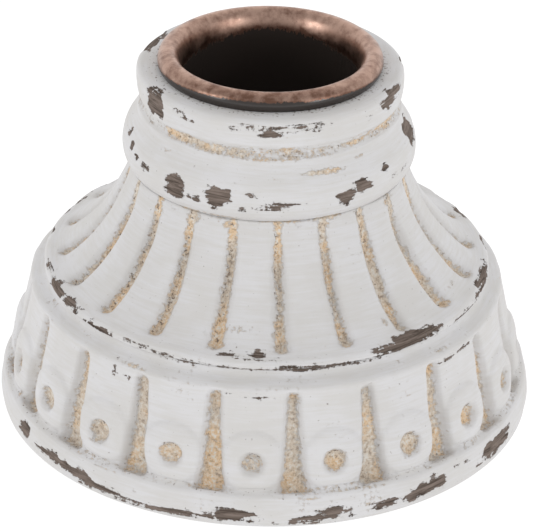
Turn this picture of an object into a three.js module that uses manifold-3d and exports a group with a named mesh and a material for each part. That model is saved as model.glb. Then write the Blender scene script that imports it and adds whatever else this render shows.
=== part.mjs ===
// A short turned and carved wooden candlestick with a rolled metal candle cup.
// Millimetres, +Z up. The origin is the middle of the felt that it stands on.

import * as THREE from 'three';
import { mergeVertices } from 'three/addons/utils/BufferGeometryUtils.js';
import Module from 'manifold-3d';

const wasm = await Module();
wasm.setup();

// ---- Driving dimensions -------------------------------------------------------------

// Felt under the base
const FELT_THICKNESS = 1.2;
const FELT_PROUD = 0.3; // how far the felt stands out below the wood
const FELT_INSET = 4.9; // wooden rim left round the felt

// Base: a smooth band, a drum of carved tongues and a cove under the ledge
const BASE_HEIGHT = 19.1;
const FOOT_SPREAD = 6.1; // how much wider the foot is than the ledge
const BAND_HEIGHT = 4.1;
const BAND_BULGE = 0.6;
const BAND_EASE = 0.9; // height over which its edges are rounded
const BAND_STEP = 0.3; // slope from the band in to the drum
const DRUM_SETBACK = 1.9; // drum face inside the widest part of the band, at the bottom
const DRUM_STEP = 1.8; // drum face outside the ledge, at the top
const DRUM_CROWN = 0.25; // how far the drum face is rounded out between them
const COVE_HEIGHT = 2.1; // plain cove between the drum and the ledge
const COVE_UNDERCUT = 0.3; // how far it turns in under the ledge

// Carving on the drum
const TONGUE_COUNT = 20;
const TONGUE_PHASE = -2.3; // degrees, first tongue from -Y towards +X
const GULLEY_DEPTH = 1.3;
const GULLEY_TOP_WIDTH = 1.6;
const GULLEY_WIDTH = 2.3;
const GULLEY_FOOT_WIDTH = 4.2;
const GULLEY_SPREAD = 1.6; // height over which the foot spreads
const BOSS_RADIUS = 4.0;
const BOSS_PROUD = 0.8;
const BOSS_EASE = 0.8; // width of the rounding at its rim
const DIMPLE_RADIUS = 1.45;
const DIMPLE_FLOOR_RADIUS = 1;
const DIMPLE_DEPTH = 1.1;
const CUT_CLEAR = 1; // how far outside the wood each cutter starts

// Shoulder: an upright ledge, a flared cavetto and its carved grooves
const LEDGE_RADIUS = 28.8;
const LEDGE_HEIGHT = 1.1;
const LEDGE_ROUND = 0.7;
const SHELF_WIDTH = 1.3; // from the ledge's edge in to the flare
const SHELF_RISE = 0.1;
const SHOULDER_HEIGHT = 14.4;
const FLARE_HIGH_OUT = 0.16; // the flare's upper pull, as shares of its span and drop
const FLARE_HIGH_DOWN = 0.34;
const FLARE_LOW_OUT = 0.53; // its lower pull
const FLARE_LOW_UP = 0.13;
const FLUTE_COUNT = 20;
const FLUTE_PHASE = 4.5; // degrees, first groove from -Y towards +X
const FLUTE_RADIUS = 1.3; // of the round gouge
const FLUTE_DEPTH = 0.9;
const FLUTE_NECK_DEPTH = 0.35; // where the collar stands over the groove
const FLUTE_FULL_FROM = 0.25; // shares of the flare between which it is at full depth
const FLUTE_FULL_TO = 0.75;
const GOUGE_CLEAR = 0.1; // between the lifted gouge and the wood
const GOUGE_STEPS = 7;

// Joints in the wood
const TENON_RADIUS = 9;
const TENON_CHAMFER = 0.6;
const SPIGOT_WALL = 2;
const SPIGOT_HEIGHT = 2;
const JOINT_GAP = 0.3; // round every turned joint, filled with glue
const END_GAP = 0.5; // past the end of a tenon or a screw
const WOOD_UNDER_SCREW = 1; // left in the tenon below the screw's pilot hole

// Collar: a large ring, a cove and a small ring
const COLLAR_HEIGHT = 13.3;
const COLLAR_WALL = 4.1; // from the bore to the bottom of the cove
const COLLAR_FOOT_PROUD = 1.3; // how far each stands out from the cove
const LOWER_RING_PROUD = 2.65;
const UPPER_RING_PROUD = 0.85;
const RING_PULL = 0.4; // how far past a ring's radius its curve is pulled
const LOWER_RING_EASE = 0.8; // height of that pull above the foot
const UPPER_RING_EASE = 1.2; // and above the cove
const SLOPE_PROUD = 1.85; // hollow slope from the lower ring up to the cove
const SLOPE_ABOVE_FOOT = 5.4;
const SLOPE_HOLLOW_PROUD = 0.85; // where its curve is pulled to
const SLOPE_HOLLOW_RISE = 1.4;
const TOP_FLAT = 3.9; // flat top round the bore, where the lip rests
const COVE_ABOVE_FOOT = 8.9; // middle of the cove
const COVE_HALF = 0.9;
const COVE_LIP = 0.45; // how far its edges stand out
const COVE_DIP = 0.3; // how far the curve between them is pulled in

// Candle cup
const CUP_BORE_RADIUS = 11.15; // takes a standard 7/8 in candle
const CUP_WALL = 0.6;
const CUP_DEPTH = 22;
const CUP_CORNER = 1.5;
const LIP_HEIGHT = 2.1; // above the wood
const LIP_OVERHANG = 3.05; // from the bore to the outside of the roll
const LIP_ROUND = 1.4; // radius of the rolled edge
const LIP_EASE = 0.7; // from the top down to where the roll meets the bore

// Screw through the cup floor
const SCREW_HEAD_RADIUS = 3.1;
const SCREW_HEAD_HEIGHT = 1.7;
const SCREW_RADIUS = 1.5;
const SCREW_LENGTH = 14;
const SCREW_POINT = 3;
const RECESS_WIDTH = 0.8; // cross recess for the driver
const RECESS_SPAN = 3.4;
const RECESS_DEPTH = 1.1;

const SEGMENTS = 40; // round the axis, a multiple of both carving counts
const BOSS_SEGMENTS = 10; // round each boss and dimple

// ---- Heights and radii that follow --------------------------------------------------

const woodBottom = FELT_PROUD;
const recessTop = FELT_THICKNESS;
const bandTop = woodBottom + BAND_HEIGHT;
const seam = woodBottom + BASE_HEIGHT; // between the base and the shoulder
const drumTop = seam - COVE_HEIGHT;
const ledgeTop = seam + LEDGE_HEIGHT;
const collarSeat = seam + SHOULDER_HEIGHT;
const woodTop = collarSeat + COLLAR_HEIGHT;
const cupTop = woodTop + LIP_HEIGHT;
const cupFloor = cupTop - CUP_DEPTH;
const cupHoleBottom = cupFloor - CUP_WALL - JOINT_GAP;
const screwTip = cupFloor - SCREW_LENGTH;
const pilotBottom = screwTip - END_GAP;
const tenonBottom = pilotBottom - WOOD_UNDER_SCREW;

const footRadius = LEDGE_RADIUS + FOOT_SPREAD;
const feltRadius = footRadius - FELT_INSET;
const drumFootRadius = footRadius - DRUM_SETBACK;
const drumTopRadius = LEDGE_RADIUS + DRUM_STEP;
const cupRadius = CUP_BORE_RADIUS + CUP_WALL;
const cupHoleRadius = cupRadius + JOINT_GAP;
const coveRadius = cupHoleRadius + COLLAR_WALL;
const neckRadius = coveRadius + COLLAR_FOOT_PROUD;
const spigotRadius = cupHoleRadius + SPIGOT_WALL;
const sinkSlope = (SCREW_HEAD_RADIUS - SCREW_RADIUS) / SCREW_HEAD_HEIGHT;

// ---- Making and joining solids ------------------------------------------------------

const solidOf = (geometry) => {
  geometry.deleteAttribute('normal');
  geometry.deleteAttribute('uv');
  const merged = mergeVertices(geometry);
  const index = merged.index.array;
  const faces = [];
  for (let i = 0; i < index.length; i += 3) {
    const [a, b, c] = [index[i], index[i + 1], index[i + 2]];
    if (a !== b && b !== c && c !== a) faces.push(a, b, c);
  }
  return new wasm.Manifold(new wasm.Mesh({
    numProp: 3,
    vertProperties: new Float32Array(merged.attributes.position.array),
    triVerts: new Uint32Array(faces),
  }));
};

const geometryOf = (solid) => {
  const mesh = solid.getMesh();
  const geometry = new THREE.BufferGeometry();
  geometry.setAttribute('position', new THREE.BufferAttribute(mesh.vertProperties, 3));
  geometry.setIndex(new THREE.BufferAttribute(mesh.triVerts, 1));
  geometry.computeVertexNormals();
  return geometry;
};

// An outline of radius and height, turned about +Z. It runs upwards on the outside.
const turned = (outline, divisions) => {
  const geometry = new THREE.LatheGeometry(outline.getPoints(divisions), SEGMENTS);
  geometry.rotateX(Math.PI / 2);
  return solidOf(geometry);
};

// Copies of a solid made at -Y, spaced evenly round +Z.
const ringOf = (solid, count, phase) => {
  const copies = [];
  for (let i = 0; i < count; i += 1) {
    copies.push(solid.rotate([0, 0, phase + (360 * i) / count]));
  }
  return copies.reduce((all, copy) => all.add(copy));
};

// ---- Base ---------------------------------------------------------------------------

const drumLean = Math.atan2(drumFootRadius - drumTopRadius, drumTop - bandTop);

const drumRadiusAt = (height) => {
  const share = (height - bandTop) / (drumTop - bandTop);
  const straight = THREE.MathUtils.lerp(drumFootRadius, drumTopRadius, share);
  return straight + DRUM_CROWN * 4 * share * (1 - share);
};

// A solid made with the drum face at y = 0, its outside at -Y, goes onto the drum.
const ontoDrum = (geometry, height) => {
  geometry.rotateX(-drumLean);
  geometry.translate(0, -drumRadiusAt(height), height);
  return solidOf(geometry);
};

const baseBlank = () => {
  const outline = new THREE.Path();
  const bandFoot = footRadius - BAND_BULGE;
  const mortiseRadius = TENON_RADIUS + JOINT_GAP;
  const mortiseBottom = tenonBottom - END_GAP;
  const drumMiddle = (bandTop + drumTop) / 2;
  const crownPull = 2 * drumRadiusAt(drumMiddle) - (drumFootRadius + drumTopRadius) / 2;
  outline.moveTo(0, recessTop);
  outline.lineTo(feltRadius + JOINT_GAP, recessTop);
  outline.lineTo(feltRadius + JOINT_GAP, woodBottom);
  outline.lineTo(bandFoot, woodBottom);
  outline.bezierCurveTo(
    footRadius, woodBottom + BAND_EASE, footRadius, bandTop - BAND_EASE, bandFoot, bandTop);
  outline.lineTo(drumFootRadius, bandTop + BAND_STEP);
  outline.quadraticCurveTo(crownPull, drumMiddle, drumTopRadius, drumTop);
  outline.quadraticCurveTo(
    LEDGE_RADIUS, drumTop + COVE_UNDERCUT, LEDGE_RADIUS - COVE_UNDERCUT, seam);
  outline.lineTo(mortiseRadius, seam);
  outline.lineTo(mortiseRadius, mortiseBottom);
  outline.lineTo(0, mortiseBottom);
  return turned(outline, 3);
};

// The hollow between two tongues: narrow at the top, spread between the bosses below.
const gulley = () => {
  const length = (drumTop - bandTop) / Math.cos(drumLean);
  const top = GULLEY_TOP_WIDTH / 2;
  const side = GULLEY_WIDTH / 2;
  const foot = GULLEY_FOOT_WIDTH / 2;
  const outline = new THREE.Shape();
  outline.moveTo(-foot, 0);
  outline.lineTo(foot, 0);
  outline.quadraticCurveTo(side, GULLEY_SPREAD, side, BOSS_RADIUS);
  outline.lineTo(top, length - top);
  outline.absarc(0, length - top, top, 0, Math.PI, false);
  outline.lineTo(-side, BOSS_RADIUS);
  outline.quadraticCurveTo(-side, GULLEY_SPREAD, -foot, 0);
  const geometry = new THREE.ExtrudeGeometry(
    outline, { depth: GULLEY_DEPTH + CUT_CLEAR, bevelEnabled: false, curveSegments: 2 });
  geometry.rotateX(Math.PI / 2);
  geometry.translate(0, GULLEY_DEPTH, 0);
  return ontoDrum(geometry, bandTop);
};

const bossHeight = bandTop + BOSS_RADIUS;

const boss = () => {
  const outline = new THREE.Path();
  outline.moveTo(0, -GULLEY_DEPTH);
  outline.lineTo(BOSS_RADIUS, -GULLEY_DEPTH);
  outline.lineTo(BOSS_RADIUS, 0);
  outline.quadraticCurveTo(BOSS_RADIUS - BOSS_EASE, BOSS_PROUD, DIMPLE_RADIUS, BOSS_PROUD);
  outline.lineTo(0, BOSS_PROUD);
  const geometry = new THREE.LatheGeometry(outline.getPoints(2), BOSS_SEGMENTS);
  geometry.rotateX(Math.PI);
  return ontoDrum(geometry, bossHeight);
};

const dimple = () => {
  const length = DIMPLE_DEPTH + CUT_CLEAR;
  const geometry = new THREE.CylinderGeometry(
    DIMPLE_FLOOR_RADIUS, DIMPLE_RADIUS, length, BOSS_SEGMENTS);
  geometry.translate(0, length / 2 - BOSS_PROUD - CUT_CLEAR, 0);
  return ontoDrum(geometry, bossHeight);
};

const beadedBase = () => {
  const halfPitch = 180 / TONGUE_COUNT;
  const gulleys = ringOf(gulley(), TONGUE_COUNT, TONGUE_PHASE + halfPitch);
  const bosses = ringOf(boss(), TONGUE_COUNT, TONGUE_PHASE);
  const dimples = ringOf(dimple(), TONGUE_COUNT, TONGUE_PHASE);
  return baseBlank().subtract(gulleys).add(bosses).subtract(dimples);
};

// ---- Shoulder -----------------------------------------------------------------------

// The hollow flare, from the neck down to the ledge, in the plane of radius and height.
const flareFoot = new THREE.Vector2(LEDGE_RADIUS - SHELF_WIDTH, ledgeTop + SHELF_RISE);
const flareDrop = collarSeat - flareFoot.y;
const flareSpan = flareFoot.x - neckRadius;
const flare = new THREE.CubicBezierCurve(
  new THREE.Vector2(neckRadius, collarSeat),
  new THREE.Vector2(
    neckRadius + flareSpan * FLARE_HIGH_OUT, collarSeat - flareDrop * FLARE_HIGH_DOWN),
  new THREE.Vector2(
    neckRadius + flareSpan * FLARE_LOW_OUT, flareFoot.y + flareDrop * FLARE_LOW_UP),
  flareFoot,
);

const shoulderBlank = () => {
  const outline = new THREE.Path();
  const sinkRadius = SCREW_HEAD_RADIUS + JOINT_GAP - sinkSlope * (cupFloor - cupHoleBottom);
  const pilotRadius = SCREW_RADIUS + JOINT_GAP;
  const sinkDepth = (sinkRadius - pilotRadius) / sinkSlope;
  outline.moveTo(0, tenonBottom);
  outline.lineTo(TENON_RADIUS - TENON_CHAMFER, tenonBottom);
  outline.lineTo(TENON_RADIUS, tenonBottom + TENON_CHAMFER);
  outline.lineTo(TENON_RADIUS, seam);
  outline.lineTo(LEDGE_RADIUS, seam);
  outline.lineTo(LEDGE_RADIUS, ledgeTop - LEDGE_ROUND);
  outline.quadraticCurveTo(LEDGE_RADIUS, ledgeTop, flareFoot.x, flareFoot.y);
  outline.bezierCurveTo(
    flare.v2.x, flare.v2.y, flare.v1.x, flare.v1.y, neckRadius, collarSeat);
  outline.lineTo(spigotRadius, collarSeat);
  outline.lineTo(spigotRadius, collarSeat + SPIGOT_HEIGHT);
  outline.lineTo(cupHoleRadius, collarSeat + SPIGOT_HEIGHT);
  outline.lineTo(cupHoleRadius, cupHoleBottom);
  outline.lineTo(sinkRadius, cupHoleBottom);
  outline.lineTo(pilotRadius, cupHoleBottom - sinkDepth);
  outline.lineTo(pilotRadius, pilotBottom);
  outline.lineTo(0, pilotBottom);
  return turned(outline, 6);
};

// A round gouge drawn down the flare. It sinks in below the neck and lifts out of the
// wood before the ledge.
const fluteGouge = () => {
  const path = [];
  for (let i = 0; i <= GOUGE_STEPS; i += 1) {
    const t = i / GOUGE_STEPS;
    const point = flare.getPoint(t);
    const along = flare.getTangent(t);
    const sunk = THREE.MathUtils.smoothstep(t, 0, FLUTE_FULL_FROM);
    const lifted = THREE.MathUtils.smoothstep(t, FLUTE_FULL_TO, 1);
    const depth = THREE.MathUtils.lerp(FLUTE_NECK_DEPTH, FLUTE_DEPTH, sunk);
    const off = FLUTE_RADIUS - THREE.MathUtils.lerp(depth, -GOUGE_CLEAR, lifted);
    path.push(new THREE.Vector3(0, -(point.x - along.y * off), point.y + along.x * off));
  }
  const start = path[0];
  path.unshift(new THREE.Vector3(0, start.y, start.z + CUT_CLEAR));
  const section = new THREE.Shape();
  section.absarc(0, 0, FLUTE_RADIUS, 0, 2 * Math.PI, false);
  return solidOf(new THREE.ExtrudeGeometry(section, {
    extrudePath: new THREE.CatmullRomCurve3(path),
    steps: GOUGE_STEPS,
    curveSegments: 4,
    bevelEnabled: false,
  }));
};

const flutedShoulder = () =>
  shoulderBlank().subtract(ringOf(fluteGouge(), FLUTE_COUNT, FLUTE_PHASE));

// ---- Collar -------------------------------------------------------------------------

const neckCollar = () => {
  const outline = new THREE.Path();
  const counterbore = spigotRadius + JOINT_GAP;
  const counterboreTop = collarSeat + SPIGOT_HEIGHT + JOINT_GAP;
  const coveMiddle = collarSeat + COVE_ABOVE_FOOT;
  const coveBottom = coveMiddle - COVE_HALF;
  const coveTop = coveMiddle + COVE_HALF;
  const lowerRing = coveRadius + LOWER_RING_PROUD;
  const upperRing = coveRadius + UPPER_RING_PROUD;
  const slopeFoot = collarSeat + SLOPE_ABOVE_FOOT;
  outline.moveTo(counterbore, counterboreTop);
  outline.lineTo(counterbore, collarSeat);
  outline.lineTo(neckRadius, collarSeat);
  outline.bezierCurveTo(
    lowerRing + RING_PULL, collarSeat + LOWER_RING_EASE,
    lowerRing, slopeFoot - LOWER_RING_EASE,
    coveRadius + SLOPE_PROUD, slopeFoot);
  outline.quadraticCurveTo(
    coveRadius + SLOPE_HOLLOW_PROUD, slopeFoot + SLOPE_HOLLOW_RISE,
    coveRadius + COVE_LIP, coveBottom);
  outline.quadraticCurveTo(
    coveRadius - COVE_DIP, coveMiddle, coveRadius + COVE_LIP, coveTop);
  outline.bezierCurveTo(
    upperRing, coveTop + UPPER_RING_EASE,
    upperRing + RING_PULL, woodTop,
    cupHoleRadius + TOP_FLAT, woodTop);
  outline.lineTo(cupHoleRadius, woodTop);
  outline.lineTo(cupHoleRadius, counterboreTop);
  outline.closePath();
  return turned(outline, 6);
};

// ---- Candle cup ---------------------------------------------------------------------

const candleCup = () => {
  const outline = new THREE.Path();
  const lipRadius = CUP_BORE_RADIUS + LIP_OVERHANG;
  const rollMiddle = cupTop - LIP_ROUND;
  const rollRadius = lipRadius - LIP_ROUND;
  const rollStart = -Math.asin((rollMiddle - woodTop) / LIP_ROUND);
  const under = cupFloor - CUP_WALL;
  const rimTop = SCREW_HEAD_RADIUS + JOINT_GAP;
  const rimBottom = rimTop - sinkSlope * CUP_WALL;
  const outerCorner = CUP_CORNER + CUP_WALL;
  outline.moveTo(rimTop, cupFloor);
  outline.lineTo(rimBottom, under);
  outline.lineTo(cupRadius - outerCorner, under);
  outline.absarc(cupRadius - outerCorner, under + outerCorner, outerCorner,
    -Math.PI / 2, 0, false);
  outline.lineTo(cupRadius, woodTop);
  outline.lineTo(rollRadius, woodTop);
  outline.absarc(rollRadius, rollMiddle, LIP_ROUND, rollStart, Math.PI / 2, false);
  outline.quadraticCurveTo(
    CUP_BORE_RADIUS, cupTop - LIP_EASE, CUP_BORE_RADIUS, woodTop - CUP_WALL);
  outline.lineTo(CUP_BORE_RADIUS, cupFloor + CUP_CORNER);
  outline.absarc(CUP_BORE_RADIUS - CUP_CORNER, cupFloor + CUP_CORNER, CUP_CORNER,
    0, -Math.PI / 2, true);
  outline.closePath();
  return turned(outline, 4);
};

// ---- Screw --------------------------------------------------------------------------

const crossArm = (turn) => {
  const geometry = new THREE.BoxGeometry(RECESS_SPAN, RECESS_WIDTH, 2 * RECESS_DEPTH);
  geometry.rotateZ(turn);
  geometry.translate(0, 0, cupFloor);
  return solidOf(geometry);
};

const cupScrew = () => {
  const outline = new THREE.Path();
  outline.moveTo(0, screwTip);
  outline.lineTo(SCREW_RADIUS, screwTip + SCREW_POINT);
  outline.lineTo(SCREW_RADIUS, cupFloor - SCREW_HEAD_HEIGHT);
  outline.lineTo(SCREW_HEAD_RADIUS, cupFloor);
  outline.lineTo(0, cupFloor);
  return turned(outline, 1).subtract(crossArm(0)).subtract(crossArm(Math.PI / 2));
};

// ---- Felt ---------------------------------------------------------------------------

const feltDisc = () => {
  const outline = new THREE.Path();
  outline.moveTo(0, 0);
  outline.lineTo(feltRadius, 0);
  outline.lineTo(feltRadius, FELT_THICKNESS);
  outline.lineTo(0, FELT_THICKNESS);
  return turned(outline, 1);
};

// ---- The candlestick ----------------------------------------------------------------

const PAINT = { color: 0xdcdbd8, roughness: 0.85, metalness: 0 };
const COPPER = { color: 0x8a5f4c, roughness: 0.38, metalness: 0.9 };
const STEEL = { color: 0x4a4744, roughness: 0.5, metalness: 0.8 };
const FELT = { color: 0x3c3a38, roughness: 1, metalness: 0 };

const candlestick = new THREE.Group();

const addPiece = (name, solid, finish) => {
  const material = new THREE.MeshStandardMaterial(finish);
  const mesh = new THREE.Mesh(geometryOf(solid), material);
  mesh.name = name;
  candlestick.add(mesh);
};

addPiece('felt_disc', feltDisc(), FELT);
addPiece('beaded_base', beadedBase(), PAINT);
addPiece('fluted_shoulder', flutedShoulder(), PAINT);
addPiece('neck_collar', neckCollar(), PAINT);
addPiece('candle_cup', candleCup(), COPPER);
addPiece('cup_screw', cupScrew(), STEEL);

export default candlestick;
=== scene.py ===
"""The looks of a short turned and carved wooden candlestick, built round its CAD frame.

Lengths are in metres. Azimuths run from the front, which is -Y, towards +X.
"""
import math
import random

import bpy
import numpy as np
from bpy.props import (
    FloatProperty, FloatVectorProperty, IntProperty, PointerProperty)
from mathutils import Matrix, Vector, noise


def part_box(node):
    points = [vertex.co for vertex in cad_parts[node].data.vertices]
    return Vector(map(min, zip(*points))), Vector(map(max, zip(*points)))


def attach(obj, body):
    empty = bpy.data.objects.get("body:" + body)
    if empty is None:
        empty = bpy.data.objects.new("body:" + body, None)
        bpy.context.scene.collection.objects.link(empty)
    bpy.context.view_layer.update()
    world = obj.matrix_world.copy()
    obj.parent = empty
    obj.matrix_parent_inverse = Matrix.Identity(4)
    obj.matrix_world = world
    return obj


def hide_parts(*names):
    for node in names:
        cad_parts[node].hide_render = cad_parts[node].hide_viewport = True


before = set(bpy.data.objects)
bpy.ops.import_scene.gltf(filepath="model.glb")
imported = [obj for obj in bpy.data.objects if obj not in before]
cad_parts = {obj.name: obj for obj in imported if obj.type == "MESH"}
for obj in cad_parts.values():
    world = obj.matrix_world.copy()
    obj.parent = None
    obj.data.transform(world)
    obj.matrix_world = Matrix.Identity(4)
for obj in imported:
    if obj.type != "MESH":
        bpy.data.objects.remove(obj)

bl_info = {
    "name": "Carved candlestick",
    "version": (1, 0, 0),
    "blender": (4, 5, 0),
    "location": "3D View > Sidebar > Candlestick",
    "description": "Builds a short carved and painted wooden candlestick with a metal cup",
    "category": "Add Mesh",
}

MM = 0.001
PLAIN_WEDGES = 20  # wedges in a ring that has no carving
DRAWN_OUT = 0.08  # the width of a brush line or a grain line over its length
# Handles of the curves that round a corner, as shares of the corner's radius
FROM_END, FROM_CORNER = 0.5523, 0.45
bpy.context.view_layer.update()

# Places that the frame gives
BASE_LOW, BASE_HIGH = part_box("beaded_base")
SHOULDER_LOW, SHOULDER_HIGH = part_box("fluted_shoulder")
COLLAR_LOW, COLLAR_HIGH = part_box("neck_collar")
CUP_LOW, CUP_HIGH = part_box("candle_cup")
FELT_LOW, FELT_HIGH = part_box("felt_disc")
FOOT_RADIUS = BASE_HIGH.x
LEDGE_RADIUS = SHOULDER_HIGH.x
SEAM = BASE_HIGH.z
SEAT = COLLAR_LOW.z
WOOD_TOP = COLLAR_HIGH.z

# Bare patches where the paint has come off: azimuth in degrees, height, half width and
# half height in millimetres. They lie where hands and shelves rub: on rings and arrises.
COLLAR_CHIPS = (
    (-113, 46.8, 3.0, 1.3), (-57, 45.7, 2.3, 1.7), (-38, 45.9, 0.3, 0.25), (-42, 46.2, 0.5, 0.12),
    (-34, 45.8, 0.2, 0.2), (-16, 46.2, 0.6, 0.15), (-7, 46.2, 1.2, 0.16), (0, 46.3, 2.0, 0.3),
    (0, 45.5, 1.0, 0.5), (14, 46.2, 1.4, 0.5), (19, 46.5, 1.5, 0.28), (47, 45.6, 0.45, 0.25),
    (62, 46.3, 1.9, 0.9), (69, 46.6, 1.2, 0.6), (98, 46.5, 1.2, 0.5),
    (82, 39.6, 1.6, 1.5), (-77, 39.4, 0.5, 0.4), (-70, 38.4, 0.4, 0.5), (-63, 37.6, 0.4, 0.45),
    (-56, 37.4, 0.7, 0.35), (-38, 36.9, 1.5, 1.1), (-31.5, 36.6, 0.3, 0.25),
    (-28, 36.4, 0.35, 0.3), (-19, 36.9, 1.6, 1.3), (-21, 37.8, 0.8, 0.5), (-10, 36.0, 0.4, 0.35),
    (-6, 37.9, 0.35, 0.2), (2, 36.4, 1.4, 0.22), (8, 36.9, 1.2, 0.2), (32, 36.9, 1.6, 0.9),
    (39, 37.5, 1.6, 0.75), (52, 38.6, 0.5, 0.45), (57, 36.9, 0.6, 0.2), (65, 36.7, 1.0, 0.2),
)
LEDGE_CHIPS = (
    (-80, 20.5, 1.6, 0.4), (-69, 20.3, 3.4, 1.2), (-60, 20.3, 3.0, 0.8), (-47, 19.9, 2.6, 0.3),
    (-34, 20.0, 2.4, 0.3), (-26, 19.7, 2.0, 0.2),
    (-15, 19.45, 4.4, 0.2), (-9.5, 20.9, 1.1, 0.4), (-1.5, 21.0, 1.1, 0.75), (-1.5, 20.7, 2.6, 0.2),
    (2, 19.4, 1.2, 0.15), (8, 20.8, 1.6, 0.12), (12, 20.9, 0.4, 0.15), (17, 19.45, 6.4, 0.24),
    (33, 20.3, 2.2, 0.5), (40, 20.5, 2.6, 1.2), (46, 20.6, 2.4, 0.8), (60, 19.5, 2.5, 0.15),
    (77, 20.5, 3.4, 0.9),
)
DRUM_CHIPS = (
    (-37, 16.6, 0.25, 0.75), (-33, 16.2, 0.25, 0.15), (-8, 16.6, 0.25, 0.15),
    (-5, 16.7, 0.5, 0.14), (-1, 16.7, 0.5, 0.12), (48, 16.8, 0.9, 0.14), (54, 16.9, 1.1, 0.16),
)
BAND_CHIPS = (
    (-62, 2.6, 1.6, 1.1), (-51, 2.3, 2.0, 0.55), (-43, 2.1, 2.7, 0.75), (-37, 1.6, 2.8, 0.55),
    (-27, 1.2, 3.6, 0.3), (-17, 1.3, 2.6, 0.4), (-6, 1.8, 3.1, 0.85), (12, 1.4, 3.6, 0.6),
    (15, 2.2, 2.0, 0.8), (26, 1.9, 1.5, 0.45), (37, 2.3, 2.6, 1.3), (33, 1.8, 1.8, 0.7),
    (45, 3.4, 0.3, 0.2), (48, 3.4, 0.5, 0.25), (59, 2.5, 3.8, 1.2),
)
# The same wear round the back, drawn at random: height, spread in height, number, size.
BACK_WEAR = ((46.3, 0.4, 7, 1.4), (37.2, 1.2, 9, 1.5), (20.3, 0.5, 12, 2.1), (2.0, 0.5, 13, 2.4))

# Tan wash wiped over the paint: azimuth, height, half width, half height and strength.
WASH_MARKS = (
    (-40, 42.8, 5.0, 0.8, 1.1), (-20, 42.5, 6.5, 0.8, 1.05), (0, 42.0, 5.0, 0.35, 0.8),
    (20, 42.1, 6.0, 0.3, 0.8), (42, 42.6, 4.0, 0.4, 0.9), (64, 43.0, 4.5, 0.9, 1.2),
    (4, 39.9, 1.2, 0.3, 0.7), (24, 40.2, 3.6, 0.45, 1.0), (41, 40.9, 1.3, 0.35, 0.9),
    (-48, 40.6, 3.0, 0.6, 0.5), (-33, 34.0, 2.6, 0.35, 1.0), (-17, 34.1, 5.0, 0.4, 1.1),
    (4, 34.0, 4.6, 0.3, 1.0), (25, 33.9, 2.6, 0.45, 1.0), (40, 33.5, 1.5, 0.6, 0.8),
    (-30, 33.3, 1.1, 0.9, 0.9), (-14, 33.2, 1.4, 0.8, 0.9), (23, 33.0, 1.0, 0.9, 0.9),
    (58, 33.2, 1.4, 0.9, 0.9), (-31, 18.0, 3.5, 0.5, 0.9), (-22, 17.9, 3.0, 0.35, 0.8),
    (2, 17.9, 6.0, 0.4, 0.6), (15, 17.9, 2.5, 0.3, 0.8), (47, 18.2, 3.0, 0.6, 0.7),
    (-46, 4.6, 2.5, 0.3, 0.9), (-35, 4.4, 3.5, 0.25, 0.8), (3, 4.5, 3.0, 0.2, 1.0),
    (10, 4.2, 1.6, 0.2, 0.9), (25, 4.6, 4.4, 0.25, 1.0), (41, 4.7, 4.0, 0.3, 1.0),
    (-28, 6.5, 0.8, 0.9, 0.6), (66, 21.8, 2.0, 0.5, 0.8), (36, 21.9, 0.8, 0.7, 1.1),
)


def linear(colour):
    """An sRGB colour, such as 0xD7D5D4, as linear red, green, blue and alpha."""
    parts = [((colour >> shift) & 255) / 255 for shift in (16, 8, 0)]
    curve = [c / 12.92 if c <= 0.04045 else ((c + 0.055) / 1.055) ** 2.4 for c in parts]
    return (*curve, 1.0)


def length(name, description, millimetres):
    """A length property, its default given in millimetres."""
    return FloatProperty(
        name=name, description=description, default=millimetres * MM, unit="LENGTH", precision=5)


def colour(name, description, default):
    """A colour property, its default given as an sRGB number."""
    return FloatVectorProperty(
        name=name, description=description, default=linear(default), size=4, subtype="COLOR")


# ---- Sizes and colours --------------------------------------------------------------


class CarvedBaseSettings(bpy.types.PropertyGroup):
    """The carving on the drum of the foot."""

    tongues: IntProperty(name="Tongues", description="Tongues round the drum", default=20, min=3)
    first_tongue: FloatProperty(
        name="First tongue", description="Azimuth of the first tongue",
        default=math.radians(-2.3), unit="ROTATION")
    gulley_depth: length("Gulley depth", "Depth of the hollows between the tongues", 1.3)
    gulley_top: length("Gulley top", "Width of a hollow at its top", 1.3)
    gulley_width: length("Gulley width", "Width of a hollow beside the bosses", 2.4)
    gulley_foot: length("Gulley foot", "Width of a hollow where it meets the band", 3.9)
    boss_radius: length("Boss radius", "Radius of the round boss that ends a tongue", 4.1)
    boss_height: length("Boss height", "How far a boss stands out from its tongue", 0.85)
    dimple_radius: length("Dimple radius", "Radius of the drilled dimple", 1.75)
    dimple_depth: length("Dimple depth", "Depth of the drilled dimple", 1.1)


class FlutedShoulderSettings(bpy.types.PropertyGroup):
    """The carving on the flared shoulder."""

    flutes: IntProperty(name="Flutes", description="Grooves round the flare", default=20, min=3)
    first_flute: FloatProperty(
        name="First flute", description="Azimuth of the first groove",
        default=math.radians(4.5), unit="ROTATION")
    flute_top: length("Flute top", "Width of a groove under the collar", 1.4)
    flute_foot: length("Flute foot", "Width of a groove near the ledge", 2.0)
    flute_depth: length("Flute depth", "Depth of a groove", 0.8)
    stave_crown: length("Stave crown", "How far a stave is rounded out", 0.5)


class NeckCollarSettings(bpy.types.PropertyGroup):
    """The turned rings of the collar."""

    cove_radius: length("Cove radius", "Radius at the bottom of the cove", 16.15)
    lower_ring: length("Lower ring", "Radius of the larger ring", 18.8)
    upper_ring: length("Upper ring", "Radius of the smaller ring", 16.9)
    cove_height: length("Cove height", "Height of the cove above the collar's foot", 8.9)
    bore: length("Bore", "Radius of the hole that the cup passes through", 12.05)


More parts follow.
